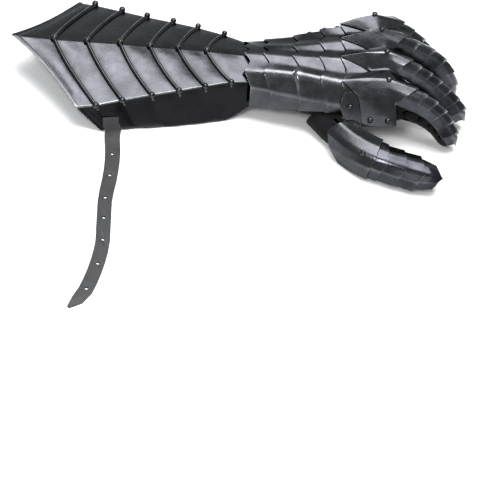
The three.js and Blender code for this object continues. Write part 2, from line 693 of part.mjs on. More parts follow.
// x and distance outwards of the cuff strap's middle line where it lies on the ground
const CUFF_STRAP_RUN = [[113.4, 92], [114.4, 108], [114.4, 121], [113.7, 135], [112.5, 149], [110.7, 163],
  [109.4, 178], [109.4, 204], [109.5, 231], [108.2, 245], [106.2, 258], [103.5, 271.5], [100.1, 285],
  [96.2, 298], [89.5, 311], [81.8, 321]];
const STRAP_HOLES = [[114.1, 111.4], [112.7, 141.3], [109.6, 173], [109.4, 200.4], [109.5, 229.7],
  [106, 261.9], [97, 295.7]];
const STRAP_TIP_WIDTH = 13.6;
const BUCKLE_STRAP_RUN = [[112.5, 66], [112.5, 58], [112.5, 50], [112.5, 40]];
const BUCKLE_LENGTH = 34;
const BUCKLE_WIDTH = 27;
const BUCKLE_BAR = 3.4;

function buildStraps() {
  const cuffStrap = wallStrapPath(-1, false, CUFF_STRAP_RUN);
  const widths = cuffStrap.path.map((_, i) => mix(STRAP_WIDTH, STRAP_TIP_WIDTH, Math.min(i / 10, 1)));
  widths[widths.length - 1] = STRAP_TIP_WIDTH * 0.2;
  widths[widths.length - 2] = STRAP_TIP_WIDTH * 0.85;
  let strap = solidOf(strapGeometry(cuffStrap.path, cuffStrap.ups, widths, STRAP_THICKNESS));
  for (const [x, out] of STRAP_HOLES) {
    strap = strap.subtract(holeThrough(groundPoint(x, -out, 0), groundUp, 1.9));
  }
  addPiece("cuff_strap", geometryFromSolid(strap), "leather");

  const short = wallStrapPath(1, true, BUCKLE_STRAP_RUN);
  const shortWidths = short.path.map(() => STRAP_WIDTH);
  addPiece("buckle_strap", strapGeometry(short.path, short.ups, shortWidths, STRAP_THICKNESS), "leather");
  buildBuckle();
  buildPalmStrap();
}

function rectangle(width, length) {
  const shape = new THREE.Shape();
  shape.moveTo(-width / 2, -length / 2);
  shape.lineTo(width / 2, -length / 2);
  shape.lineTo(width / 2, length / 2);
  shape.lineTo(-width / 2, length / 2);
  shape.closePath();
  return shape;
}

function buildBuckle() {
  const outline = rectangle(BUCKLE_WIDTH, BUCKLE_LENGTH);
  outline.holes.push(rectangle(BUCKLE_WIDTH - 2 * BUCKLE_BAR, BUCKLE_LENGTH - 2 * BUCKLE_BAR));
  const frame = new THREE.ExtrudeGeometry(outline, { depth: BUCKLE_BAR * 0.8, bevelEnabled: false });
  const prong = new THREE.BoxGeometry(2.4, BUCKLE_LENGTH - 1, 2);
  prong.translate(0, 0, BUCKLE_BAR * 0.8 + 0.6);
  const buckle = geometryFromSolid(solidOf(frame).add(solidOf(prong)));
  buckle.rotateY(slopeAngle);
  const at = groundPoint(112.5, 39.7 - BUCKLE_LENGTH / 2 - LAYER_GAP, 0.1);
  buckle.translate(at.x, at.y, at.z);
  addPiece("buckle", buckle, "nickel");
}

function buildPalmStrap() {
  const count = 12;
  const station = sampleTable(PALM_STATIONS, PALM_STRAP_X);
  const [x, cy, cz, halfWidth, halfHeight, roll] = station;
  const middle = v3(x, cy, cz);
  const turn = new THREE.Quaternion().setFromAxisAngle(v3(1, 0, 0), THREE.MathUtils.degToRad(roll));
  const path = [];
  const ups = [];
  for (let k = 0; k <= count; k++) {
    const angle = mix(-0.02, -Math.PI * 0.66, k / count);
    const power = 2 / 2.4;
    const [c, s] = [Math.cos(angle), Math.sin(angle)];
    const out = STRAP_THICKNESS + LAYER_GAP * 2;
    const y = Math.sign(c) * Math.abs(c) ** power * (halfWidth + out);
    const z = Math.sign(s) * Math.abs(s) ** power * (halfHeight + out);
    path.push(v3(0, y, z).applyQuaternion(turn).add(middle));
    ups.push(v3(0, c / halfWidth, s / halfHeight).normalize().applyQuaternion(turn));
  }
  const widths = path.map(() => PALM_STRAP_WIDTH);
  addPiece("palm_strap", strapGeometry(path, ups, widths, STRAP_THICKNESS * 0.8), "leather");
}

function rivetGeometry(at, up) {
  const profile = [[0, 0], [1, 0], [1, 0.25], [0.85, 0.6], [0.5, 0.9], [0, 1]];
  const points = profile.map(([r, h]) => new THREE.Vector2(r * RIVET_RADIUS, h * RIVET_HEIGHT));
  const dome = new THREE.LatheGeometry(points, 10);
  dome.applyQuaternion(new THREE.Quaternion().setFromUnitVectors(v3(0, 1, 0), up.clone().normalize()));
  const base = at.clone().addScaledVector(up.clone().normalize(), LAYER_GAP);
  dome.translate(base.x, base.y, base.z);
  return geometryFromSolid(solidOf(dome));
}

function buildRivets() {
  for (const [name, x, y, z] of KNUCKLES) {
    addPiece("rivet_" + name, rivetGeometry(v3(x - 0.5, y, z + 0.9), v3(0, (y - 30) * 0.008, 1)), "gloss");
  }
  addPiece("rivet_side_plate", rivetGeometry(v3(346.5, -48.1, 4.2), v3(0, -0.83, 0.55)), "gloss");
  addPiece("rivet_flange_1", rivetGeometry(v3(366.5, -54.5, -7.4), v3(0, -0.88, 0.47)), "gloss");
  addPiece("rivet_flange_2", rivetGeometry(v3(384, -54.1, -8.8), v3(0, -0.88, 0.47)), "gloss");
  const out = SCALE_WALL * 2 + LAYER_GAP * 2 + 1.2;
  const root = digitPoint(THUMB, thumbFrames, THUMB.start - 7, [0, 1.26], out);
  addPiece("rivet_thumb_root", rivetGeometry(root, frameAt(thumbFrames, THUMB.start - 7).up), "gloss");
  [[308, -0.5], [323, 0.25], [336, -1.1]].forEach(([x, lift], k) => {
    const up = v3(0, 0.86, 0.5);
    const edge = archPoint(x, 8).lerp(archPoint(x, 9), 0.45);
    addPiece("rivet_far_" + (k + 1), rivetGeometry(edge.addScaledVector(up, lift), up), "gloss");
  });
}

buildCuffPlate();
buildRibs();
buildLames();
buildKnucklePlate();
buildSidePlate();
for (const [name, digit] of Object.entries(FINGERS)) {
  const frames = fingerFrames[name];
  buildScales(name, digit, frames, frames[frames.length - 1].s + 2);
}
buildThumbRoot();
buildScales("thumb", THUMB, thumbFrames, thumbFrames[thumbFrames.length - 1].s + 3);
buildGlove();
buildStraps();
buildRivets();

// Turn the layout level and put the origin at the bottom centre of the whole piece.
const part = new THREE.Group();
group.position.set(-GROUND_START_X, 0, 0);
const level = new THREE.Group();
level.add(group);
level.rotation.y = -slopeAngle;
part.add(level);
part.updateMatrixWorld(true);
const box = new THREE.Box3().setFromObject(part, true);
part.position.set(-(box.min.x + box.max.x) / 2, -(box.min.y + box.max.y) / 2, -box.min.z);
part.updateMatrixWorld(true);

export default part;
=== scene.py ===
"""Looks of a left-hand armoured gauntlet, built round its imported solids, in metres."""

import logging
import math
from dataclasses import dataclass, field
from enum import Enum

import bmesh
import bpy
from mathutils import Matrix, Vector, noise


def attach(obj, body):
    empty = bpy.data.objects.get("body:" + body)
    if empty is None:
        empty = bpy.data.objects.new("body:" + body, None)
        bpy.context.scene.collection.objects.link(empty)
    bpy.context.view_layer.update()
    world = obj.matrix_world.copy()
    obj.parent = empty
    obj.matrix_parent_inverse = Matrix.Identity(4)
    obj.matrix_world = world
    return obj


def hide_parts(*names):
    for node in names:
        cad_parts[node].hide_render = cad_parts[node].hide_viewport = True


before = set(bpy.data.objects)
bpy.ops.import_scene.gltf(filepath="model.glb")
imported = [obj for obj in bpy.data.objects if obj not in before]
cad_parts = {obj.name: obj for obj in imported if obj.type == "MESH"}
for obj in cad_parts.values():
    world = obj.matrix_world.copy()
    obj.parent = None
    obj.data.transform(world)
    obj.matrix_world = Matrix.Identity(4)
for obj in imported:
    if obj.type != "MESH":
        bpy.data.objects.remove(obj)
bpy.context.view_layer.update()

LOG = logging.getLogger("gauntlet")
MM = 0.001

# How the level hand layout is tipped onto the ground and moved into the row frame, in millimetres.
GROUND_START_X = 107.0
SLOPE_ANGLE = math.atan(0.17)
ROW_SHIFT_X = -130.48
ROW_SHIFT_Y = 118.63

Color = tuple[float, float, float]


class Digit(Enum):
    """The five digits, with the name and the number of scales of each."""

    INDEX = ("index", 6)
    MIDDLE = ("middle", 7)
    RING = ("ring", 6)
    LITTLE = ("little", 5)
    THUMB = ("thumb", 4)

    def scales(self) -> list[str]:
        """The CAD nodes of its scales, from the knuckle to the tip."""
        word, count = self.value
        return [f"{word}_scale_{number}" for number in range(1, count + 1)]


class Sharpness(Enum):
    """How tight the folds of a plate stay, as a crease weight."""

    SOFT = 0.25
    FOLDED = 0.62
    CRISP = 0.85


# Shader building


class ShaderSheet:
    """A material's node tree with short calls to add and join nodes."""

    def __init__(self, name: str) -> None:
        """Makes an empty material with a Principled shader.

        Args:
            name: The material's name.
        """
        self.material = bpy.data.materials.new(name)
        self.material.use_nodes = True
        self.tree = self.material.node_tree
        self.shader = self.tree.nodes["Principled BSDF"]
        self.place = self.add("ShaderNodeTexCoord").outputs["Object"]

    def add(self, kind: str, **settings: object) -> bpy.types.Node:
        """Adds a node.

        Args:
            kind: The node's type name.
            **settings: Properties to set on it.

        Returns:
            The new node.
        """
        node = self.tree.nodes.new(kind)
        for key, value in settings.items():
            setattr(node, key, value)
        return node

    def join(self, source: bpy.types.NodeSocket, target: bpy.types.NodeSocket) -> None:
        """Links an output to an input."""
        self.tree.links.new(source, target)

    def stretched(self, scale: tuple[float, float, float]) -> bpy.types.NodeSocket:
        """Scales the object coordinates per axis, for grain that runs one way.

        Args:
            scale: The factor along x, y and z.

        Returns:
            The scaled coordinates.
        """
        node = self.add("ShaderNodeMapping")
        node.inputs["Scale"].default_value = scale
        self.join(self.place, node.inputs["Vector"])
        return node.outputs["Vector"]

    def noise(
        self, scale: float, detail: float = 3.0, rough: float = 0.55, at: bpy.types.NodeSocket | None = None
    ) -> bpy.types.NodeSocket:
        """Noise over the object.

        Args:
            scale: Features per metre.
            detail: Octaves.
            rough: Weight of the finer octaves.
            at: Coordinates, or None for plain object coordinates.

        Returns:
            The noise value socket.
        """
        node = self.add("ShaderNodeTexNoise")
        node.inputs["Scale"].default_value = scale
        node.inputs["Detail"].default_value = detail
        node.inputs["Roughness"].default_value = rough
        self.join(at or self.place, node.inputs["Vector"])
        return node.outputs["Fac"]

    def span(
        self, value: bpy.types.NodeSocket, low: float, high: float, start: float, end: float
    ) -> bpy.types.NodeSocket:
        """Maps one range of values to another, held at the ends.

        Args:
            value: The value to map.
            low: Where the first range begins.
            high: Where the first range ends.
            start: What low becomes.
            end: What high becomes.

        Returns:
            The mapped value.
        """
        node = self.add("ShaderNodeMapRange")
        for key, number in (("From Min", low), ("From Max", high), ("To Min", start), ("To Max", end)):
            node.inputs[key].default_value = number
        self.join(value, node.inputs["Value"])
        return node.outputs["Result"]

    def blend(
        self,
        share: bpy.types.NodeSocket,
        first: Color | bpy.types.NodeSocket,
        second: Color | bpy.types.NodeSocket,
    ) -> bpy.types.NodeSocket:
        """Mixes two colours.

        Args:
            share: How much of the second colour shows, from 0 to 1.
            first: The colour at 0.
            second: The colour at 1.

        Returns:
            The mixed colour.
        """
        node = self.add("ShaderNodeMix", data_type="RGBA")
        self.join(share, node.inputs["Factor"])
        for value, key in ((first, 6), (second, 7)):
            if isinstance(value, tuple):
                node.inputs[key].default_value = (*value, 1.0)
            else:
                self.join(value, node.inputs[key])
        return node.outputs[2]

    def math(
        self, operation: str, first: bpy.types.NodeSocket, second: bpy.types.NodeSocket | float
    ) -> bpy.types.NodeSocket:
        """Does one arithmetic step.

        Args:
            operation: The step's name, such as MULTIPLY.
            first: The first value.
            second: The second value or a fixed number.

        Returns:
            The result.
        """
        node = self.add("ShaderNodeMath", operation=operation)
        self.join(first, node.inputs[0])
        if isinstance(second, float):
            node.inputs[1].default_value = second
        else:
            self.join(second, node.inputs[1])
        return node.outputs[0]

    def bump(
        self,
        height: bpy.types.NodeSocket,
        distance: float,
        strength: float,
        before: bpy.types.NodeSocket | None = None,
    ) -> bpy.types.NodeSocket:
        """Adds a layer of fine relief.

        Args:
            height: The relief's height, from 0 to 1.
            distance: Its depth in metres.
            strength: How much of it shows.
            before: The layer under it, or None for the bare surface.

        Returns:
            The surface direction with the relief.
        """
        node = self.add("ShaderNodeBump")
        node.inputs["Distance"].default_value = distance
        node.inputs["Strength"].default_value = strength
        self.join(height, node.inputs["Height"])
        if before is not None:
            self.join(before, node.inputs["Normal"])
        return node.outputs["Normal"]

    def edges(self, low: float, high: float) -> bpy.types.NodeSocket:
        """Share of 0 on flat metal to 1 on rubbed convex edges."""
        worn = self.add("ShaderNodeNewGeometry").outputs["Pointiness"]
        return self.span(worn, low, high, 0.0, 1.0)

    def finish(
        self, color: bpy.types.NodeSocket, rough: bpy.types.NodeSocket, normal: bpy.types.NodeSocket
    ) -> bpy.types.Material:
        """Joins the three main inputs.

        Args:
            color: The base colour.
            rough: The roughness.
            normal: The surface direction with its relief.

        Returns:
            The finished material.
        """
        self.join(color, self.shader.inputs["Base Color"])
        self.join(rough, self.shader.inputs["Roughness"])
        self.join(normal, self.shader.inputs["Normal"])
        return self.material


@dataclass(frozen=True)
class BlackenedSteel:
    """Oil-blackened sheet steel with soft clouds, fine rubbing marks and brighter edges.

    A mesh may hold two shares from 0 to 1 per point: painted shade, a near-black laid where shade falls,
    and a painted highlight, a bright line laid where light catches a ridge.
    """

    name: str
    dark: Color
    light: Color
    edge: Color
    rough: tuple[float, float]
    # The near-black colour of the painted shade.
    painted_shade_color: Color = (0.006, 0.006, 0.007)

    def build(self) -> bpy.types.Material:
        """Makes the material.

        Returns:
            The steel's material.
        """
        sheet = ShaderSheet(self.name)
        sheet.shader.inputs["Metallic"].default_value = 1.0
        clouds = sheet.noise(38.0, 4.0, 0.6)
        grain = sheet.noise(1.0, 3.0, 0.65, sheet.stretched((260.0, 2600.0, 2600.0)))
        pits = sheet.noise(900.0, 2.0, 0.5)
        tone = sheet.span(clouds, 0.32, 0.7, 0.0, 1.0)
        base = sheet.blend(tone, self.dark, self.light)
        worn = sheet.math("MULTIPLY", sheet.edges(0.512, 0.58), sheet.span(clouds, 0.3, 0.6, 0.35, 1.0))
        # Painted shade: near-black laid on the cuff's side walls, on its far face, along its border and beside
        # each rib.
        painted_shade = sheet.add("ShaderNodeAttribute", attribute_name="painted_shade").outputs["Fac"]
        patchy_shade = sheet.math("MULTIPLY", painted_shade, sheet.span(clouds, 0.25, 0.6, 0.8, 1.0))
        # Painted highlight: a bright line laid along the cuff's near ridge and the top of its border.
        wear_and_highlight = sheet.add("ShaderNodeAttribute", attribute_name="wear_and_highlight").outputs["Fac"]
        highlight_share = sheet.math("MULTIPLY", wear_and_highlight, sheet.span(clouds, 0.3, 0.6, 0.5, 1.0))
        with_painted_shade = sheet.blend(patchy_shade, sheet.blend(worn, base, self.edge), self.painted_shade_color)
        color = sheet.blend(highlight_share, with_painted_shade, self.edge)
        streaks = sheet.span(grain, 0.35, 0.7, self.rough[0], self.rough[1])
        patches = sheet.span(sheet.noise(95.0, 3.0), 0.3, 0.7, -0.05, 0.07)
        rough = sheet.math("ADD", streaks, patches)
        dents = sheet.bump(sheet.noise(70.0, 2.0), 0.0006, 0.22)
        marks = sheet.bump(grain, 0.00006, 0.35, dents)
        return sheet.finish(color, rough, sheet.bump(pits, 0.00005, 0.3, marks))


@dataclass(frozen=True)
class NappedSuede:
    """Black suede with brushed patches, short nap and a soft sheen."""

    name: str
    deep: Color
    brushed: Color

    def build(self) -> bpy.types.Material:
        """Makes the material.

        Returns:
            The suede's material.
        """
        sheet = ShaderSheet(self.name)
        sheet.shader.inputs["Sheen Weight"].default_value = 0.06
        sheet.shader.inputs["Sheen Roughness"].default_value = 0.55
        sheet.shader.inputs["Specular IOR Level"].default_value = 0.08
        patches = sheet.span(sheet.noise(55.0, 5.0, 0.65), 0.38, 0.66, 0.0, 1.0)
        nap = sheet.span(sheet.noise(1500.0, 3.0, 0.7), 0.3, 0.7, 0.0, 1.0)
        raised = sheet.math("MULTIPLY", patches, nap)
        color = sheet.blend(raised, self.deep, self.brushed)
        rough = sheet.span(nap, 0.0, 1.0, 0.86, 1.0)
        soft = sheet.bump(sheet.noise(160.0, 4.0, 0.6), 0.0012, 0.5)
        return sheet.finish(color, rough, sheet.bump(sheet.noise(2200.0, 2.0, 0.7), 0.0002, 0.6, soft))


@dataclass(frozen=True)
class StrapLeather:
    """Smooth dyed strap leather with a fine pebble and rubbed edges."""

    name: str
    dye: Color
    wear_and_highlight: Color

    def build(self) -> bpy.types.Material:
        """Makes the material.

        Returns:
            The leather's material.
        """
        sheet = ShaderSheet(self.name)
        sheet.shader.inputs["Specular IOR Level"].default_value = 0.4
        cells = sheet.add("ShaderNodeTexVoronoi", feature="DISTANCE_TO_EDGE")
        cells.inputs["Scale"].default_value = 1300.0
        sheet.join(sheet.place, cells.inputs["Vector"])
        pebble = sheet.span(cells.outputs["Distance"], 0.0, 0.18, 0.0, 1.0)
        clouds = sheet.span(sheet.noise(80.0, 4.0, 0.6), 0.3, 0.7, 0.0, 1.0)
        worn = sheet.math("MAXIMUM", sheet.edges(0.53, 0.66), sheet.math("MULTIPLY", clouds, 0.35))
        color = sheet.blend(worn, self.dye, self.wear_and_highlight)
        rough = sheet.span(clouds, 0.0, 1.0, 0.42, 0.58)
        wave = sheet.bump(sheet.noise(120.0, 3.0), 0.0005, 0.25)
        return sheet.finish(color, rough, sheet.bump(pebble, 0.00008, 0.35, wave))


def finishes() -> dict[str, bpy.types.Material]:
    """Makes every finish of the piece.

    Returns:
        The materials, by the record's slot names.
    """
    return {
        "plate_steel": BlackenedSteel(
            "plate_steel", (0.037, 0.038, 0.042), (0.062, 0.064, 0.071), (0.3, 0.305, 0.32), (0.17, 0.3)
        ).build(),
        "scale_steel": BlackenedSteel(
            "scale_steel", (0.024, 0.025, 0.029), (0.06, 0.062, 0.071), (0.34, 0.35, 0.37), (0.16, 0.28)
        ).build(),
        "rib_steel": BlackenedSteel(
            "rib_steel", (0.026, 0.026, 0.029), (0.042, 0.042, 0.046), (0.1, 0.1, 0.11), (0.07, 0.13)
        ).build(),
        "rivet_steel": BlackenedSteel(
            "rivet_steel", (0.03, 0.03, 0.033), (0.055, 0.055, 0.06), (0.14, 0.14, 0.15), (0.08, 0.15)
        ).build(),
        "buckle_nickel": BlackenedSteel(
            "buckle_nickel", (0.5, 0.49, 0.47), (0.66, 0.65, 0.63), (0.8, 0.8, 0.79), (0.14, 0.24)
        ).build(),
        "suede": NappedSuede("suede", (0.0022, 0.0022, 0.0025), (0.012, 0.012, 0.0135)).build(),
        "strap_leather": StrapLeather("strap_leather", (0.016, 0.0165, 0.018), (0.042, 0.043, 0.046)).build(),
    }


# Mesh helpers


def row_point(x: float, y: float, z: float) -> Vector:
    """A point of the hand layout, in millimetres, as a point of the row frame in metres.

    Args:
        x: Distance along the hand from the flared rim.
        y: Distance from the middle, towards the little finger.
        z: Height out of the back of the hand.

    Returns:
        The point in metres.
    """
    along = x - GROUND_START_X
    lean, rise = math.cos(SLOPE_ANGLE), math.sin(SLOPE_ANGLE)
    return Vector((along * lean - z * rise + ROW_SHIFT_X, y + ROW_SHIFT_Y, along * rise + z * lean)) * MM


def merged_copy(node: str) -> bmesh.types.BMesh:
    """Copies a CAD node's mesh and merges its loose triangles into one surface.

    Args:
        node: The CAD node.

    Returns:
        The merged copy.
    """
    shape = bmesh.new()
    shape.from_mesh(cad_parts[node].data)
    bmesh.ops.remove_doubles(shape, verts=shape.verts, dist=0.02 * MM)
    return shape


def middle_of(node: str) -> Vector:
    """The mean of a CAD node's points."""
    points = [vert.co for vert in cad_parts[node].data.vertices]
    return sum(points, Vector((0, 0, 0))) / len(points)


def quads_of(shape: bmesh.types.BMesh) -> None:
    """Joins pairs of triangles back into the quads that they came from.

    Args:
        shape: The mesh that is changed.
    """
    bmesh.ops.join_triangles(
        shape,
        faces=shape.faces,
        cmp_seam=False,
        cmp_sharp=False,
        cmp_uvs=False,
        cmp_vcols=False,
        cmp_materials=False,
        angle_face_threshold=math.radians(40),
        angle_shape_threshold=math.radians(60),
    )


def fold_angle(edge: bmesh.types.BMEdge) -> float:
    """Angle between the two faces at an edge, in degrees."""
    return math.degrees(edge.calc_face_angle(0.0))


def point_grid(
    rows: int, columns: int, *shares: str
) -> tuple[bmesh.types.BMesh, list[list[bmesh.types.BMVert]]]:
    """Makes a flat grid whose points are then moved onto a curved sheet.

    Args:
        rows: How many rows of points.
        columns: How many points in a row.
        *shares: Names of shares that each point holds for the finish.

    Returns:
        The grid and its points, row by row.
    """
    shape = bmesh.new()
    for share in shares:
        shape.verts.layers.float.new(share)
    bmesh.ops.create_grid(shape, x_segments=columns - 1, y_segments=rows - 1, size=1.0)
    points = sorted(shape.verts, key=lambda vert: (round(vert.co.y, 5), -vert.co.x))
    return shape, [points[row * columns : (row + 1) * columns] for row in range(rows)]


def object_from(shape: bmesh.types.BMesh, name: str) -> bpy.types.Object:
    """Turns a bmesh into a smooth shaded object at the origin.

    Args:
        shape: The bmesh, which is freed.
        name: The object's name.

    Returns:
        The new object.
    """
    data = bpy.data.meshes.new(name)
    shape.to_mesh(data)
    shape.free()
    for face in data.polygons:
        face.use_smooth = True
    piece = bpy.data.objects.new(name, data)
    bpy.context.scene.collection.objects.link(piece)
    return piece


def add_subdivision(piece: bpy.types.Object, levels: int) -> None:
    """Smooths a piece by subdividing its surface.

    Args:
        piece: The object.
        levels: How many times each face is divided.
    """
    smooth = piece.modifiers.new("smooth", "SUBSURF")
    smooth.levels = levels
    smooth.render_levels = levels


def add_bevel(piece: bpy.types.Object, width: float, angle: float, segments: int) -> None:
    """Rounds the sharp edges of a piece.

    Args:
        piece: The object.
        width: The rounding's width in metres.
        angle: The least angle in degrees that counts as sharp.
        segments: How many steps each rounding has.
    """
    round_off = piece.modifiers.new("round", "BEVEL")
    round_off.width = width
    round_off.segments = segments
    round_off.limit_method = "ANGLE"
    round_off.angle_limit = math.radians(angle)
    round_off.harden_normals = True


def place_piece(piece: bpy.types.Object, finish: bpy.types.Material, slot: str, *nodes: str) -> None:
    """Dresses a finished piece, puts it on the body and hides the solids it stands for.

    Args:
        piece: The finished object.
        finish: Its material.
        slot: The record's slot of its finish; not used.
        *nodes: CAD nodes that it replaces.
    """
    piece.data.materials.clear()
    piece.data.materials.append(finish)
    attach(piece, "root")
    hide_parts(*nodes)
    LOG.info("%s stands for %s", piece.name, ", ".join(nodes))


# The cuff's stations, from the flared rim to the wrist. Each row gives x, y and z of the free edge, x, y and z
# of the side ridge, x and z of the top ridge, and x, y and z of the far ridge, in the layout's millimetres.
CUFF_STATIONS = (
    (107, 80, 0, 79, 75.5, 28, 13, 57, 75, 81.5, 30.5),
    (118, 77, -1.9, 97.5, 72, 27.4, 54.8, 51.4, 91, 78, 30),
    (139, 71, -5.4, 123, 63.6, 26.8, 87, 48, 118.5, 70, 28.8),
    (163, 64.5, -9.5, 151.5, 56, 27, 119.5, 45.4, 144, 62, 27.8),
    (186, 57, -13.4, 178, 49, 26.6, 149, 41.3, 170.5, 55, 26.8),
    (209, 48.5, -17.3, 203.5, 41, 25.5, 176.7, 38.5, 195.5, 47, 26.4),
    (231, 38.5, -17, 229, 31.5, 22.5, 205, 35.2, 222, 37.5, 25),
    (250, 31, -7, 250, 26, 18, 250, 28.6, 246, 26, 23.6),
)
WRIST = len(CUFF_STATIONS) - 1


# Sub-assemblies


@dataclass
class SheetPlates:
    """Folded steel plates: each keeps its solid's form, with rounded rims and pressed folds."""

    finish: bpy.types.Material
    slot: str
    rim_round: float = 0.28 * MM
    rim_angle: float = 62.0
    least_fold: float = 9.0
    levels: int = 2
    tip_taper: float = 0.5
    tip_curve: float = 1.6

    def shape_plate(self, node: str, sharpness: Sharpness) -> bpy.types.Object:
        """Makes one plate from its solid.

        Args:
            node: The CAD node.
            sharpness: How tight its folds stay.

        Returns:
            The finished plate object.
        """
        shape = merged_copy(node)
        quads_of(shape)
        rims = [edge for edge in shape.edges if fold_angle(edge) > self.rim_angle]
        bmesh.ops.bevel(
            shape,
            geom=rims,
            offset=self.rim_round,
            segments=2,
            profile=0.5,
            affect="EDGES",
            clamp_overlap=True,
            material=-1,
        )
        crease = shape.edges.layers.float.new("crease_edge")
        for edge in shape.edges:
            if self.least_fold < fold_angle(edge) < self.rim_angle:
                edge[crease] = sharpness.value
        piece = object_from(shape, node + "_steel")
        add_subdivision(piece, self.levels)
        return piece

    def close_tip(self, piece: bpy.types.Object, before: str, node: str) -> None:
        """Draws the front of a last scale in towards its crest.

        Args:
            piece: The scale's object.
            before: The CAD node of the scale behind it.
            node: The scale's own CAD node.
        """
        along = (middle_of(node) - middle_of(before)).normalized()
        centre = middle_of(node)
        runs = [(vert.co - centre).dot(along) for vert in piece.data.vertices]
        low, high = min(runs), max(runs)
        for vert, run in zip(piece.data.vertices, runs):
            share = (run - low) / (high - low)
            aside = vert.co - centre - along * run
            vert.co = centre + along * run + aside * (1 - self.tip_taper * share**self.tip_curve)

    def build(self, nodes: dict[str, Sharpness]) -> None:
        """Makes and places all plates.

        Args:
            nodes: The CAD nodes, with how tight their folds stay.
        """
        tips = {digit.scales()[-1]: digit.scales()[-2] for digit in Digit}
        for node, sharpness in nodes.items():
            piece = self.shape_plate(node, sharpness)
            if node in tips:
                self.close_tip(piece, tips[node], node)
            place_piece(piece, self.finish, self.slot, node)


@dataclass(frozen=True)
class CuffForm:
    """The cuff's folded surface in the layout's millimetres.

    Station runs from 0 at the flared rim to 7 at the wrist, with a rib on each of 1 to 6. Across runs from
    0 at the thumb side edge over the ridges 1, 2 and 3 to 4 at the far edge.
    """

    edge_drop: float = 4.0
    far_out: float = 4.0
    rim_bow: float = 0.19
    rib_bow: float = -0.09
    border: float = 0.19
    border_lift: float = 0.9
    border_slope: float = 0.2
    panel_bulge: float = 0.9
    panel_slope: float = 0.2

    def corners(self, station: float) -> list[Vector]:
        """Finds the five folds of the sheet at a station.

        Args:
            station: Where along the cuff.

        Returns:
            The near edge, the three ridges and the far edge.
        """
        k = min(int(station), WRIST - 1)
        share = station - k
        row = [a + (b - a) * share for a, b in zip(CUFF_STATIONS[k], CUFF_STATIONS[k + 1])]
        edge_x, edge_y, edge_z, side_x, side_y, side_z, top_x, top_z, far_x, far_y, far_z = row
        far_out = self.far_out * min(1.0, WRIST - station)
        drop = self.edge_drop * min(1.0, max(0.0, WRIST - 1 - station))
        return [
            Vector((edge_x, -edge_y, edge_z - drop)),
            Vector((side_x, -side_y, side_z)),
            Vector((top_x, 0, top_z)),
            Vector((far_x, far_y, far_z)),
            Vector((edge_x, edge_y + far_out, edge_z - drop)),
        ]

    def flat_point(self, station: float, across: float) -> Vector:
        """Finds a point on the folded sheet without its bulges.

        Args:
            station: Where along the cuff.
            across: Where across it.

        Returns:
            The point.
        """
        k = min(int(across), 3)
        share = across - k
        if station < 1:
            bow = self.rim_bow + (self.rib_bow - self.rim_bow) * station
        else:
            bow = self.rib_bow * min(1.0, WRIST - station)
        shift = bow * 4 * share * (1 - share) if k in (1, 2) else 0.0
        corners = self.corners(station + shift)
        return corners[k].lerp(corners[k + 1], share)

    def normal(self, station: float, across: float) -> Vector:
        """Finds the outward direction of the sheet, halved between two faces on a ridge.

        Args:
            station: Where along the cuff.
            across: Where across it.

        Returns:
            The direction, of length 1.
        """
        step = 0.05
        total = Vector((0, 0, 0))
        for k in {min(int(across - 0.01), 3), min(int(across + 0.01), 3)}:
            middle = min(max(across, k + 0.06), k + 0.94)
            back, front = max(station - step, 0), min(station + step, WRIST)
            along = self.flat_point(front, middle) - self.flat_point(back, middle)
            over = self.flat_point(station, middle + step) - self.flat_point(station, middle - step)
            total += along.cross(over).normalized()
        return total.normalized()

    def point(self, station: float, across: float) -> Vector:
        """Finds a point on the finished surface, with the raised border and the pressed panels.

        Args:
            station: Where along the cuff.
            across: Where across it.

        Returns:
            The point.
        """
        share = across - min(int(across), 3)
        slope = self.border * self.border_slope
        lift = self.border_lift * min(1.0, max(0.0, (self.border - station) / slope))
        if station > self.border:
            reach = station - int(station) if station > 1 else (station - self.border) / (1 - self.border)
            level = min(1.0, share / self.panel_slope, (1 - share) / self.panel_slope)
            lift += self.panel_bulge * math.sin(math.pi * reach) * level
        return self.flat_point(station, across) + self.normal(station, across) * lift


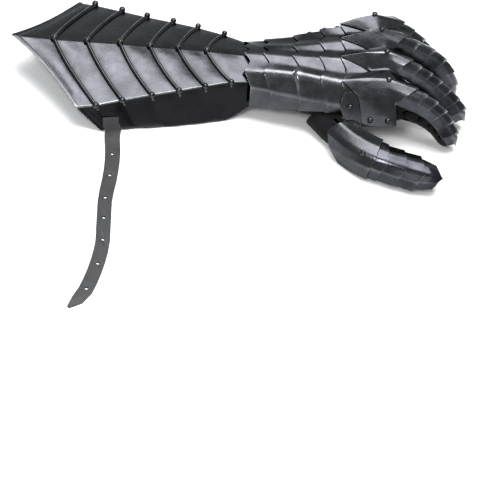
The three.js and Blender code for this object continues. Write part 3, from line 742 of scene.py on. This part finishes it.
@dataclass
class CuffShell:
    """The flared cuff: pressed panels between crisp ridges, with a raised border along the rim."""

    finish: bpy.types.Material
    form: CuffForm = field(default_factory=CuffForm)
    wall: float = 1.2 * MM
    edge_height: float = 1.4 * MM
    steps: int = 12
    # Painted shade: how much near-black each face gets, from the thumb side wall over the near and far faces
    # to the far side wall, and along the border and beside each rib.
    face_shade: tuple[float, float, float, float] = (0.9, 0.0, 0.3, 0.8)
    rim_shade: float = 0.6
    rib_shade: float = 0.75
    # Painted highlight on the near ridge and the top of the border.
    ridge_highlight: float = 0.8

    def painted_shade(self, station: float, across: float) -> float:
        """Tells how much painted shade darkens the steel: most on the side walls, some on the far face, and
        bands along the border and beside each rib.

        Args:
            station: Where along the cuff.
            across: Where across it.

        Returns:
            The share of painted shade, from 0 to 1.
        """
        face = min(int(across), 3)
        amount = self.face_shade[face]
        if 0.02 < station < 0.17:
            amount = max(amount, self.rim_shade)
        if face == 1 and 0.5 < station < WRIST - 0.5:
            amount = max(amount, self.rib_shade * (1 - abs(station - round(station)) / 0.2))
        return amount

    def build(self) -> None:
        """Makes and places the cuff."""
        border = self.form.border
        stations = [0.0, 0.01, 0.14, 0.152, border, 0.2]
        stations += [k / self.steps for k in range(3, WRIST * self.steps + 1)]
        shares = (0.0, 0.025, 0.07, 0.14, 0.22, 0.34, 0.5, 0.66, 0.78, 0.86, 0.93, 0.975)
        columns = [face + share for face in range(4) for share in shares] + [4.0]
        shape, grid = point_grid(len(stations), len(columns), "painted_shade", "wear_and_highlight")
        painted_shade, wear_and_highlight = shape.verts.layers.float["painted_shade"], shape.verts.layers.float["wear_and_highlight"]
        for station, row in zip(stations, grid):
            for across, vert in zip(columns, row):
                vert.co = row_point(*self.form.point(station, across))
                vert[painted_shade] = self.painted_shade(station, across)
                # The near ridge and the top of the border get the painted highlight.
                on_ridge = across == 1.0 or (station == border and 1 <= across <= 3)
                vert[wear_and_highlight] = self.ridge_highlight if on_ridge else 0.0
        bmesh.ops.bisect_plane(
            shape,
            geom=[*shape.verts, *shape.edges, *shape.faces],
            plane_co=(0, 0, self.edge_height),
            plane_no=(0, 0, 1),
            clear_inner=True,
        )
        piece = object_from(shape, "cuff_steel")
        sheet = piece.modifiers.new("wall", "SOLIDIFY")
        sheet.thickness = self.wall
        sheet.offset = -1.0
        sheet.use_even_offset = True
        place_piece(piece, self.finish, "plate_steel", "cuff_plate")


@dataclass
class CuffRibs:
    """Six chevron ribs: half-round bars with a ball stud on each ridge, in the layout's millimetres."""

    finish: bpy.types.Material
    form: CuffForm = field(default_factory=CuffForm)
    width: float = 4.2
    height: float = 2.7
    stud_radius: float = 3.5
    stud_lift: float = 1.7
    foot: float = 0.1
    start: float = 0.84
    end: float = 3.16
    end_round: float = 0.06
    shrink: float = 0.15
    stops: int = 72
    sides: int = 12

    def bar_ring(self, number: int, across: float, size: float) -> list[Vector]:
        """Finds one half-round section of a bar, with a flat foot on the cuff.

        Args:
            number: The rib's number, which is its station.
            across: Where across the cuff.
            size: The bar's size as a share of the largest one.

        Returns:
            The section's points, over the bar and closed under it.
        """
        middle = self.form.flat_point(number, across)
        up = self.form.normal(number, across)
        gap = 0.02
        along = self.form.flat_point(number, across + gap) - self.form.flat_point(number, across - gap)
        side = up.cross(along).normalized()
        end = min(across - self.start, self.end - across)
        round_off = math.sqrt(min(1.0, 0.1 + end / self.end_round))
        ring = []
        for k in range(self.sides):
            angle = math.pi * k / (self.sides - 1)
            out = math.cos(angle) * self.width / 2 * size * round_off
            rise = self.foot + math.sin(angle) * self.height * size * round_off
            ring.append(row_point(*(middle + side * out + up * rise)))
        return ring + ring[:1]

    def bar(self, number: int, size: float) -> bmesh.types.BMesh:
        """Makes one bar, closed at both ends.

        Args:
            number: The rib's number.
            size: The bar's size as a share of the largest one.

        Returns:
            The bar without its studs.
        """
        shape, rings = point_grid(self.stops + 1, self.sides + 1)
        for stop, ring in enumerate(rings):
            across = self.start + (self.end - self.start) * stop / self.stops
            for vert, place in zip(ring, self.bar_ring(number, across, size)):
                vert.co = place
        bmesh.ops.remove_doubles(shape, verts=shape.verts, dist=0.001 * MM)
        bmesh.ops.holes_fill(shape, edges=[edge for edge in shape.edges if edge.is_boundary], sides=0)
        return shape

    def build(self) -> None:
        """Makes and places the ribs."""
        for number in range(1, WRIST):
            size = 1 - self.shrink * (number - 1) / (WRIST - 2)
            shape = self.bar(number, size)
            for ridge in (1, 2, 3):
                up = self.form.normal(number, ridge)
                centre = self.form.flat_point(number, ridge) + up * self.stud_lift
                bmesh.ops.create_uvsphere(
                    shape,
                    u_segments=28,
                    v_segments=18,
                    radius=self.stud_radius * size * MM,
                    matrix=Matrix.Translation(row_point(*centre)),
                )
            bmesh.ops.recalc_face_normals(shape, faces=shape.faces)
            piece = object_from(shape, f"rib_{number}_bar")
            place_piece(piece, self.finish, "rib_steel", f"cuff_rib_{number}")


@dataclass
class Rivets:
    """Domed rivets, smooth on top with a tight foot."""

    finish: bpy.types.Material
    names: list[str]
    foot_angle: float = 55.0
    foot_crease: float = 0.9
    seated: tuple[str, ...] = ("rivet_index", "rivet_middle", "rivet_ring", "rivet_little")
    sink: float = 1.2 * MM

    def build(self) -> None:
        """Makes and places the rivets."""
        for node in self.names:
            shape = merged_copy(node)
            quads_of(shape)
            crease = shape.edges.layers.float.new("crease_edge")
            for edge in shape.edges:
                if fold_angle(edge) > self.foot_angle:
                    edge[crease] = self.foot_crease
            if node in self.seated:
                bmesh.ops.translate(shape, verts=shape.verts, vec=(0, 0, -self.sink))
            piece = object_from(shape, node + "_dome")
            add_subdivision(piece, 2)
            place_piece(piece, self.finish, "rivet_steel", node)


@dataclass
class SuedeGlove:
    """Hollow suede glove with even walls, soft folds and an open cuff."""

    finish: bpy.types.Material
    wall: float = 1.7 * MM
    voxel: float = 1.9 * MM
    rim_reach: float = 12 * MM
    draw_in: float = 0.35 * MM
    fold_depth: float = 0.55 * MM

    def outer_skin(self) -> bmesh.types.BMesh:
        """Takes the outside of the glove alone, and closes it over its open end.

        Returns:
            The closed skin.
        """
        shape = merged_copy("glove")
        rear = min(vert.co.x for vert in shape.verts) + self.rim_reach
        rim = [face for face in shape.faces if face.normal.x < -0.9 and face.calc_center_median().x < rear]
        bmesh.ops.delete(shape, geom=rim, context="FACES")
        start = max(shape.verts, key=lambda vert: vert.co.x)
        seen, todo = {start}, [start]
        while todo:
            for edge in todo.pop().link_edges:
                for vert in edge.verts:
                    if vert not in seen:
                        seen.add(vert)
                        todo.append(vert)
        bmesh.ops.delete(shape, geom=[vert for vert in shape.verts if vert not in seen], context="VERTS")
        bmesh.ops.holes_fill(shape, edges=[edge for edge in shape.edges if edge.is_boundary], sides=0)
        bmesh.ops.recalc_face_normals(shape, faces=shape.faces)
        return shape

    def build(self) -> None:
        """Makes and places the glove."""
        piece = object_from(self.outer_skin(), "glove_suede")
        remesh = piece.modifiers.new("even", "REMESH")
        remesh.mode = "VOXEL"
        remesh.voxel_size = self.voxel
        soften = piece.modifiers.new("soften", "SMOOTH")
        soften.factor, soften.iterations = 0.5, 6
        baked = bpy.data.meshes.new_from_object(piece.evaluated_get(bpy.context.evaluated_depsgraph_get()))
        piece.modifiers.clear()
        shape = bmesh.new()
        shape.from_mesh(baked)
        tilt = math.tan(SLOPE_ANGLE)
        rear = min(vert.co.x + vert.co.z * tilt for vert in shape.verts) + 1.5 * self.voxel
        lid = [vert for vert in shape.verts if vert.co.x + vert.co.z * tilt < rear]
        LOG.info("glove opens behind x %.4f, %d points cut", rear, len(lid))
        bmesh.ops.delete(shape, geom=lid, context="VERTS")
        for vert in shape.verts:
            wide, narrow = noise.noise(vert.co * 48.0), noise.noise(vert.co * 120.0)
            fold = wide * 0.9 + narrow * 0.35
            vert.co -= vert.normal * (self.draw_in + self.fold_depth * fold)
        shape.to_mesh(piece.data)
        shape.free()
        for face in piece.data.polygons:
            face.use_smooth = True
        wall = piece.modifiers.new("wall", "SOLIDIFY")
        wall.thickness = self.wall
        wall.offset = -1.0
        place_piece(piece, self.finish, "suede", "glove")


@dataclass
class Straps:
    """Leather straps with rounded edges, and the nickel buckle."""

    leather: bpy.types.Material
    nickel: bpy.types.Material
    strap_round: float = 0.45 * MM
    buckle_round: float = 0.8 * MM
    sharp: float = 40.0

    def build(self) -> None:
        """Makes and places the straps and the buckle."""
        for node in ("cuff_strap", "buckle_strap", "palm_strap"):
            piece = object_from(merged_copy(node), node + "_leather")
            add_bevel(piece, self.strap_round, self.sharp, 3)
            place_piece(piece, self.leather, "strap_leather", node)
        piece = object_from(merged_copy("buckle"), "buckle_frame")
        add_bevel(piece, self.buckle_round, self.sharp, 4)
        place_piece(piece, self.nickel, "buckle_nickel", "buckle")


@dataclass
class Studio:
    """Pale floor, soft lights and a camera that looks down on the thumb side."""

    back: Vector = field(default_factory=lambda: Vector((-0.1185, -0.7071, 0.6971)).normalized())
    right: Vector = field(default_factory=lambda: Vector((0.98586, 0.0, 0.16759)).normalized())
    aim: Vector = field(default_factory=lambda: Vector((0.01755, -0.0028, -0.09795)))
    distance: float = 2.5
    frame_height: float = 0.5
    sky_strength: float = 0.55
    floor_reach: float = 6.0

    def build(self) -> None:
        """Makes the floor, lights and camera."""
        self.make_floor()
        self.make_world()
        self.make_light("overhead", Vector((0.05, 0.22, 1.35)), (1.15, 0.95), 30.0)
        self.make_light("low", Vector((0.15, -1.6, 0.4)), (1.4, 0.6), 4.5)
        self.make_light("front", Vector((-0.5, -0.9, 1.15)), (0.3, 0.3), 9.0)
        bpy.context.scene.view_settings.view_transform = "Standard"
        self.make_camera()

    def make_floor(self) -> None:
        """A wide pale floor under the piece."""
        shape = bmesh.new()
        bmesh.ops.create_grid(shape, x_segments=1, y_segments=1, size=self.floor_reach)
        floor = object_from(shape, "floor")
        sheet = ShaderSheet("floor_paper")
        tone = sheet.span(sheet.noise(3.0, 2.0), 0.3, 0.7, 0.0, 1.0)
        color = sheet.blend(tone, (0.9, 0.9, 0.9), (0.93, 0.93, 0.93))
        rough = sheet.span(tone, 0.0, 1.0, 0.85, 0.95)
        material = sheet.finish(color, rough, sheet.bump(sheet.noise(400.0), 0.0001, 0.1))
        floor.data.materials.append(material)

    def make_world(self) -> None:
        """Even white surroundings."""
        world = bpy.data.worlds.new("studio")
        world.use_nodes = True
        shade = world.node_tree.nodes["Background"]
        shade.inputs["Color"].default_value = (0.96, 0.98, 1.0, 1.0)
        shade.inputs["Strength"].default_value = self.sky_strength
        bpy.context.scene.world = world

    def make_light(self, name: str, place: Vector, size: tuple[float, float], power: float) -> None:
        """A soft panel that faces the piece.

        Args:
            name: The light's name.
            place: Where it stands.
            size: Its width and height.
            power: Its power in watts.
        """
        data = bpy.data.lights.new(name, "AREA")
        data.shape = "RECTANGLE"
        data.size, data.size_y = size
        data.energy = power
        light = bpy.data.objects.new(name, data)
        light.location = place
        light.rotation_mode = "QUATERNION"
        light.rotation_quaternion = (Vector((0, 0, 0.03)) - place).to_track_quat("-Z", "Y")
        bpy.context.scene.collection.objects.link(light)

    def make_camera(self) -> None:
        """The camera, rolled along with the slope of the hand."""
        back = self.back
        right = (self.right - back * self.right.dot(back)).normalized()
        up = back.cross(right)
        data = bpy.data.cameras.new("camera")
        data.sensor_width = 36.0
        data.lens = data.sensor_width / self.frame_height * self.distance
        data.clip_start, data.clip_end = 0.05, 50.0
        camera = bpy.data.objects.new("camera", data)
        turn = Matrix((right, up, back)).transposed().to_4x4()
        camera.matrix_world = Matrix.Translation(self.aim + back * self.distance) @ turn
        bpy.context.scene.collection.objects.link(camera)
        bpy.context.scene.camera = camera


def main() -> None:
    """Builds every sub-assembly in order."""
    logging.basicConfig(level=logging.INFO, format="%(message)s")
    paint = finishes()
    Studio().build()
    CuffShell(paint["plate_steel"]).build()
    CuffRibs(paint["rib_steel"]).build()
    plates = {f"hand_lame_{number}": Sharpness.FOLDED for number in range(1, 6)}
    plates["knuckle_plate"] = Sharpness.FOLDED
    plates["side_plate"] = Sharpness.SOFT
    plates["thumb_root_plate"] = Sharpness.FOLDED
    SheetPlates(paint["plate_steel"], "plate_steel").build(plates)
    scales = {node: Sharpness.CRISP for digit in Digit for node in digit.scales()}
    SheetPlates(paint["scale_steel"], "scale_steel").build(scales)
    rivets = [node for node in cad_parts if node.startswith("rivet_")]
    Rivets(paint["rivet_steel"], sorted(rivets)).build()
    SuedeGlove(paint["suede"]).build()
    Straps(paint["strap_leather"], paint["buckle_nickel"]).build()


if __name__ == "__main__":
    main()
